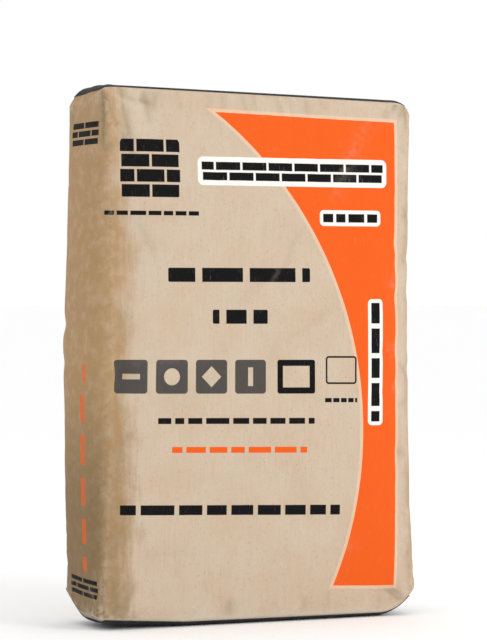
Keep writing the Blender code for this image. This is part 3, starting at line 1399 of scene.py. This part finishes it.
        # A thin line of painted shade along the seam's edge; the faint lap beside it is a glue stain.
        ragged = sheet[0] + (fine - 0.5) * self.seam_rag - self.seam
        edge = abs(ragged).steps(0.0010, 0.0003) * 0.60
        lap = ragged.steps(self.seam_width, self.seam_width - self.seam_end) * 0.16
        lap = lap * ragged.steps(0.0, 0.0006)
        paper = board.mix(edge.high(lap), paper, self.shade_and_glue)
        paper = self.printed(board, paper, sheet, brown_and_shade, fine)
        rubbed = (0.0 - pressed).high(0.0) * crumple.steps(*self.rubbed_levels)
        paper = board.mix(rubbed * 0.40, paper, self.worn)
        wear = board.attribute(WEAR) * crumple.steps(*self.worn_levels)
        paper = board.mix(wear * 0.5, paper, self.worn)
        low = crumple.steps(*self.dusty_levels) * sheet[1].steps(*self.low_dust)
        paper = board.mix(sheet[1].steps(*self.foot_dust) * 0.35 + low * 0.3, paper, self.dust)
        rumple = board.bump(crumple, 0.0007, 0.7, over=board.bump(fine, 0.00012, 0.7))
        return board.finish(
            Base_Color=paper,
            Roughness=0.88,
            Specular_IOR_Level=0.12,
            Sheen_Weight=0.04,
            Normal=rumple,
        )


@dataclass(frozen=True)
class BlackPaper:
    """Black paper with a slight sheen, scuffed and dusty at its folds."""

    colour: Colour = (0.008, 0.008, 0.010, 1.0)
    faded: Colour = (0.024, 0.023, 0.026, 1.0)
    scuff: Colour = (0.130, 0.115, 0.100, 1.0)
    clouds: Noise = Noise((60.0, 60.0, 60.0))
    cloud_levels: Levels = (0.35, 0.70)
    fine: Noise = Noise((90.0, 700.0, 700.0), 3.0)
    fine_levels: Levels = (0.66, 0.74)
    crumples: Noise = Noise((150.0, 150.0, 150.0))
    scuff_levels: Levels = (0.48, 0.62)
    dust: Noise = Noise((24.0, 24.0, 24.0), 5.0, 0.7, (0.52, 0.75))

    def material(self) -> bpy.types.Material:
        """Build the strip's material.

        Returns:
            The material.
        """
        board = Board("black_paper")
        place = board.object_place()
        cloud = board.noise(place, self.clouds)
        fine = board.noise(place, self.fine)
        crumple = board.noise(place, self.crumples)
        colour = board.mix(cloud.steps(*self.cloud_levels) * 0.8, self.colour, self.faded)
        scuffed = board.attribute(WEAR) * crumple.steps(*self.scuff_levels) * 0.6
        dusty = board.noise(place, self.dust) * 0.22
        colour = board.mix(scuffed + fine.steps(*self.fine_levels) * 0.25 + dusty, colour, self.scuff)
        rumple = board.bump(crumple, 0.0006, 0.7, over=board.bump(fine, 0.0001, 0.6))
        return board.finish(
            Base_Color=colour,
            Roughness=0.52 + cloud * 0.25,
            Specular_IOR_Level=0.20,
            Normal=rumple,
        )


@dataclass(frozen=True)
class Studio:
    """The camera at the photograph's angle, soft lights and a pale floor."""

    azimuth: float = -24.55
    distance: float = 3.51
    camera_height: float = 0.4047
    aim_offset: float = 0.0925
    aim_down: float = 0.60
    lens: float = 160.23
    floor_size: float = 60.0

    def camera(self) -> bpy.types.Object:
        """Place the camera and make it the scene's own.

        Returns:
            The camera.
        """
        data = bpy.data.cameras.new("camera")
        data.lens = self.lens
        data.sensor_width = 36.0
        thing = bpy.data.objects.new("camera", data)
        turn = math.radians(self.azimuth)
        thing.location = (
            math.sin(turn) * self.distance,
            -math.cos(turn) * self.distance,
            self.camera_height,
        )
        tilt = math.radians(90 - self.aim_down)
        thing.rotation_euler = (tilt, 0.0, turn - math.radians(self.aim_offset))
        bpy.context.scene.collection.objects.link(thing)
        bpy.context.scene.camera = thing
        return thing

    def light(self, name: str, place: Sequence[float], size: float, power: float) -> None:
        """Add a soft area light that faces the sack's middle.

        Args:
            name: The light's name.
            place: Where it hangs.
            size: Its width and height.
            power: Its power in watts.
        """
        data = bpy.data.lights.new(name, "AREA")
        data.shape = "SQUARE"
        data.size = size
        data.energy = power
        thing = bpy.data.objects.new(name, data)
        thing.location = place
        towards = Vector((0.0, 0.0, 0.32)) - Vector(place)
        thing.rotation_euler = towards.to_track_quat("-Z", "Y").to_euler()
        bpy.context.scene.collection.objects.link(thing)

    def floor(self) -> bpy.types.Object:
        """Lay the pale floor.

        Returns:
            The floor.
        """
        net = bmesh.new()
        bmesh.ops.create_grid(net, x_segments=1, y_segments=1, size=self.floor_size)
        mesh = bpy.data.meshes.new("floor")
        net.to_mesh(mesh)
        net.free()
        thing = bpy.data.objects.new("floor", mesh)
        bpy.context.scene.collection.objects.link(thing)
        board = Board("pale_floor")
        mesh.materials.append(board.finish(Base_Color=(0.985, 0.985, 0.985, 1.0), Roughness=0.9))
        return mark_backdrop(thing) or thing

    def build(self) -> None:
        """Set up the camera, the lights, the floor and the pale surroundings."""
        self.camera()
        self.light("key", (1.5, -2.6, 1.3), 1.1, 32.0)
        self.light("fill", (-2.6, -2.2, 1.0), 2.0, 3.0)
        self.floor()
        scene = bpy.context.scene
        scene.view_settings.view_transform = "Standard"
        world = bpy.data.worlds.new("surroundings")
        world.use_nodes = True
        world.node_tree.nodes["Background"].inputs["Color"].default_value = (1.0, 1.0, 1.0, 1.0)
        world.node_tree.nodes["Background"].inputs["Strength"].default_value = 1.0
        scene.world = world


def dress(thing: bpy.types.Object, material: bpy.types.Material, node: str) -> None:
    """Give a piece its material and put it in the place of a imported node.

    Args:
        thing: The piece.
        material: Its material.
        node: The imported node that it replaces.
    """
    thing.data.materials.clear()
    thing.data.materials.append(material)
    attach(thing, BODY)
    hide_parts(node)
    LOG.info("%s: %d faces, for %s", thing.name, len(thing.data.polygons), node)


def main() -> None:
    """Build the sack's skin, its strips and the studio, in that order."""
    logging.basicConfig(level=logging.INFO, format="%(message)s")
    cad_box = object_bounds()
    form = SackForm(height=round(cad_box[1].z, 3))
    skin = PaperSkin(form)
    skin.build()
    black = BlackPaper().material()
    for end in End:
        strip = EndStrip(skin, end).build()
        dress(strip, black, f"{end.name.lower()}_end_strip")
    handling = skin.handling
    kraft = KraftPaper(handling.seam(), handling.folds(form.height / 2)[3]).material()
    dress(skin.thing, kraft, "sack_body")
    Studio().build()


if __name__ == "__main__":
    main()
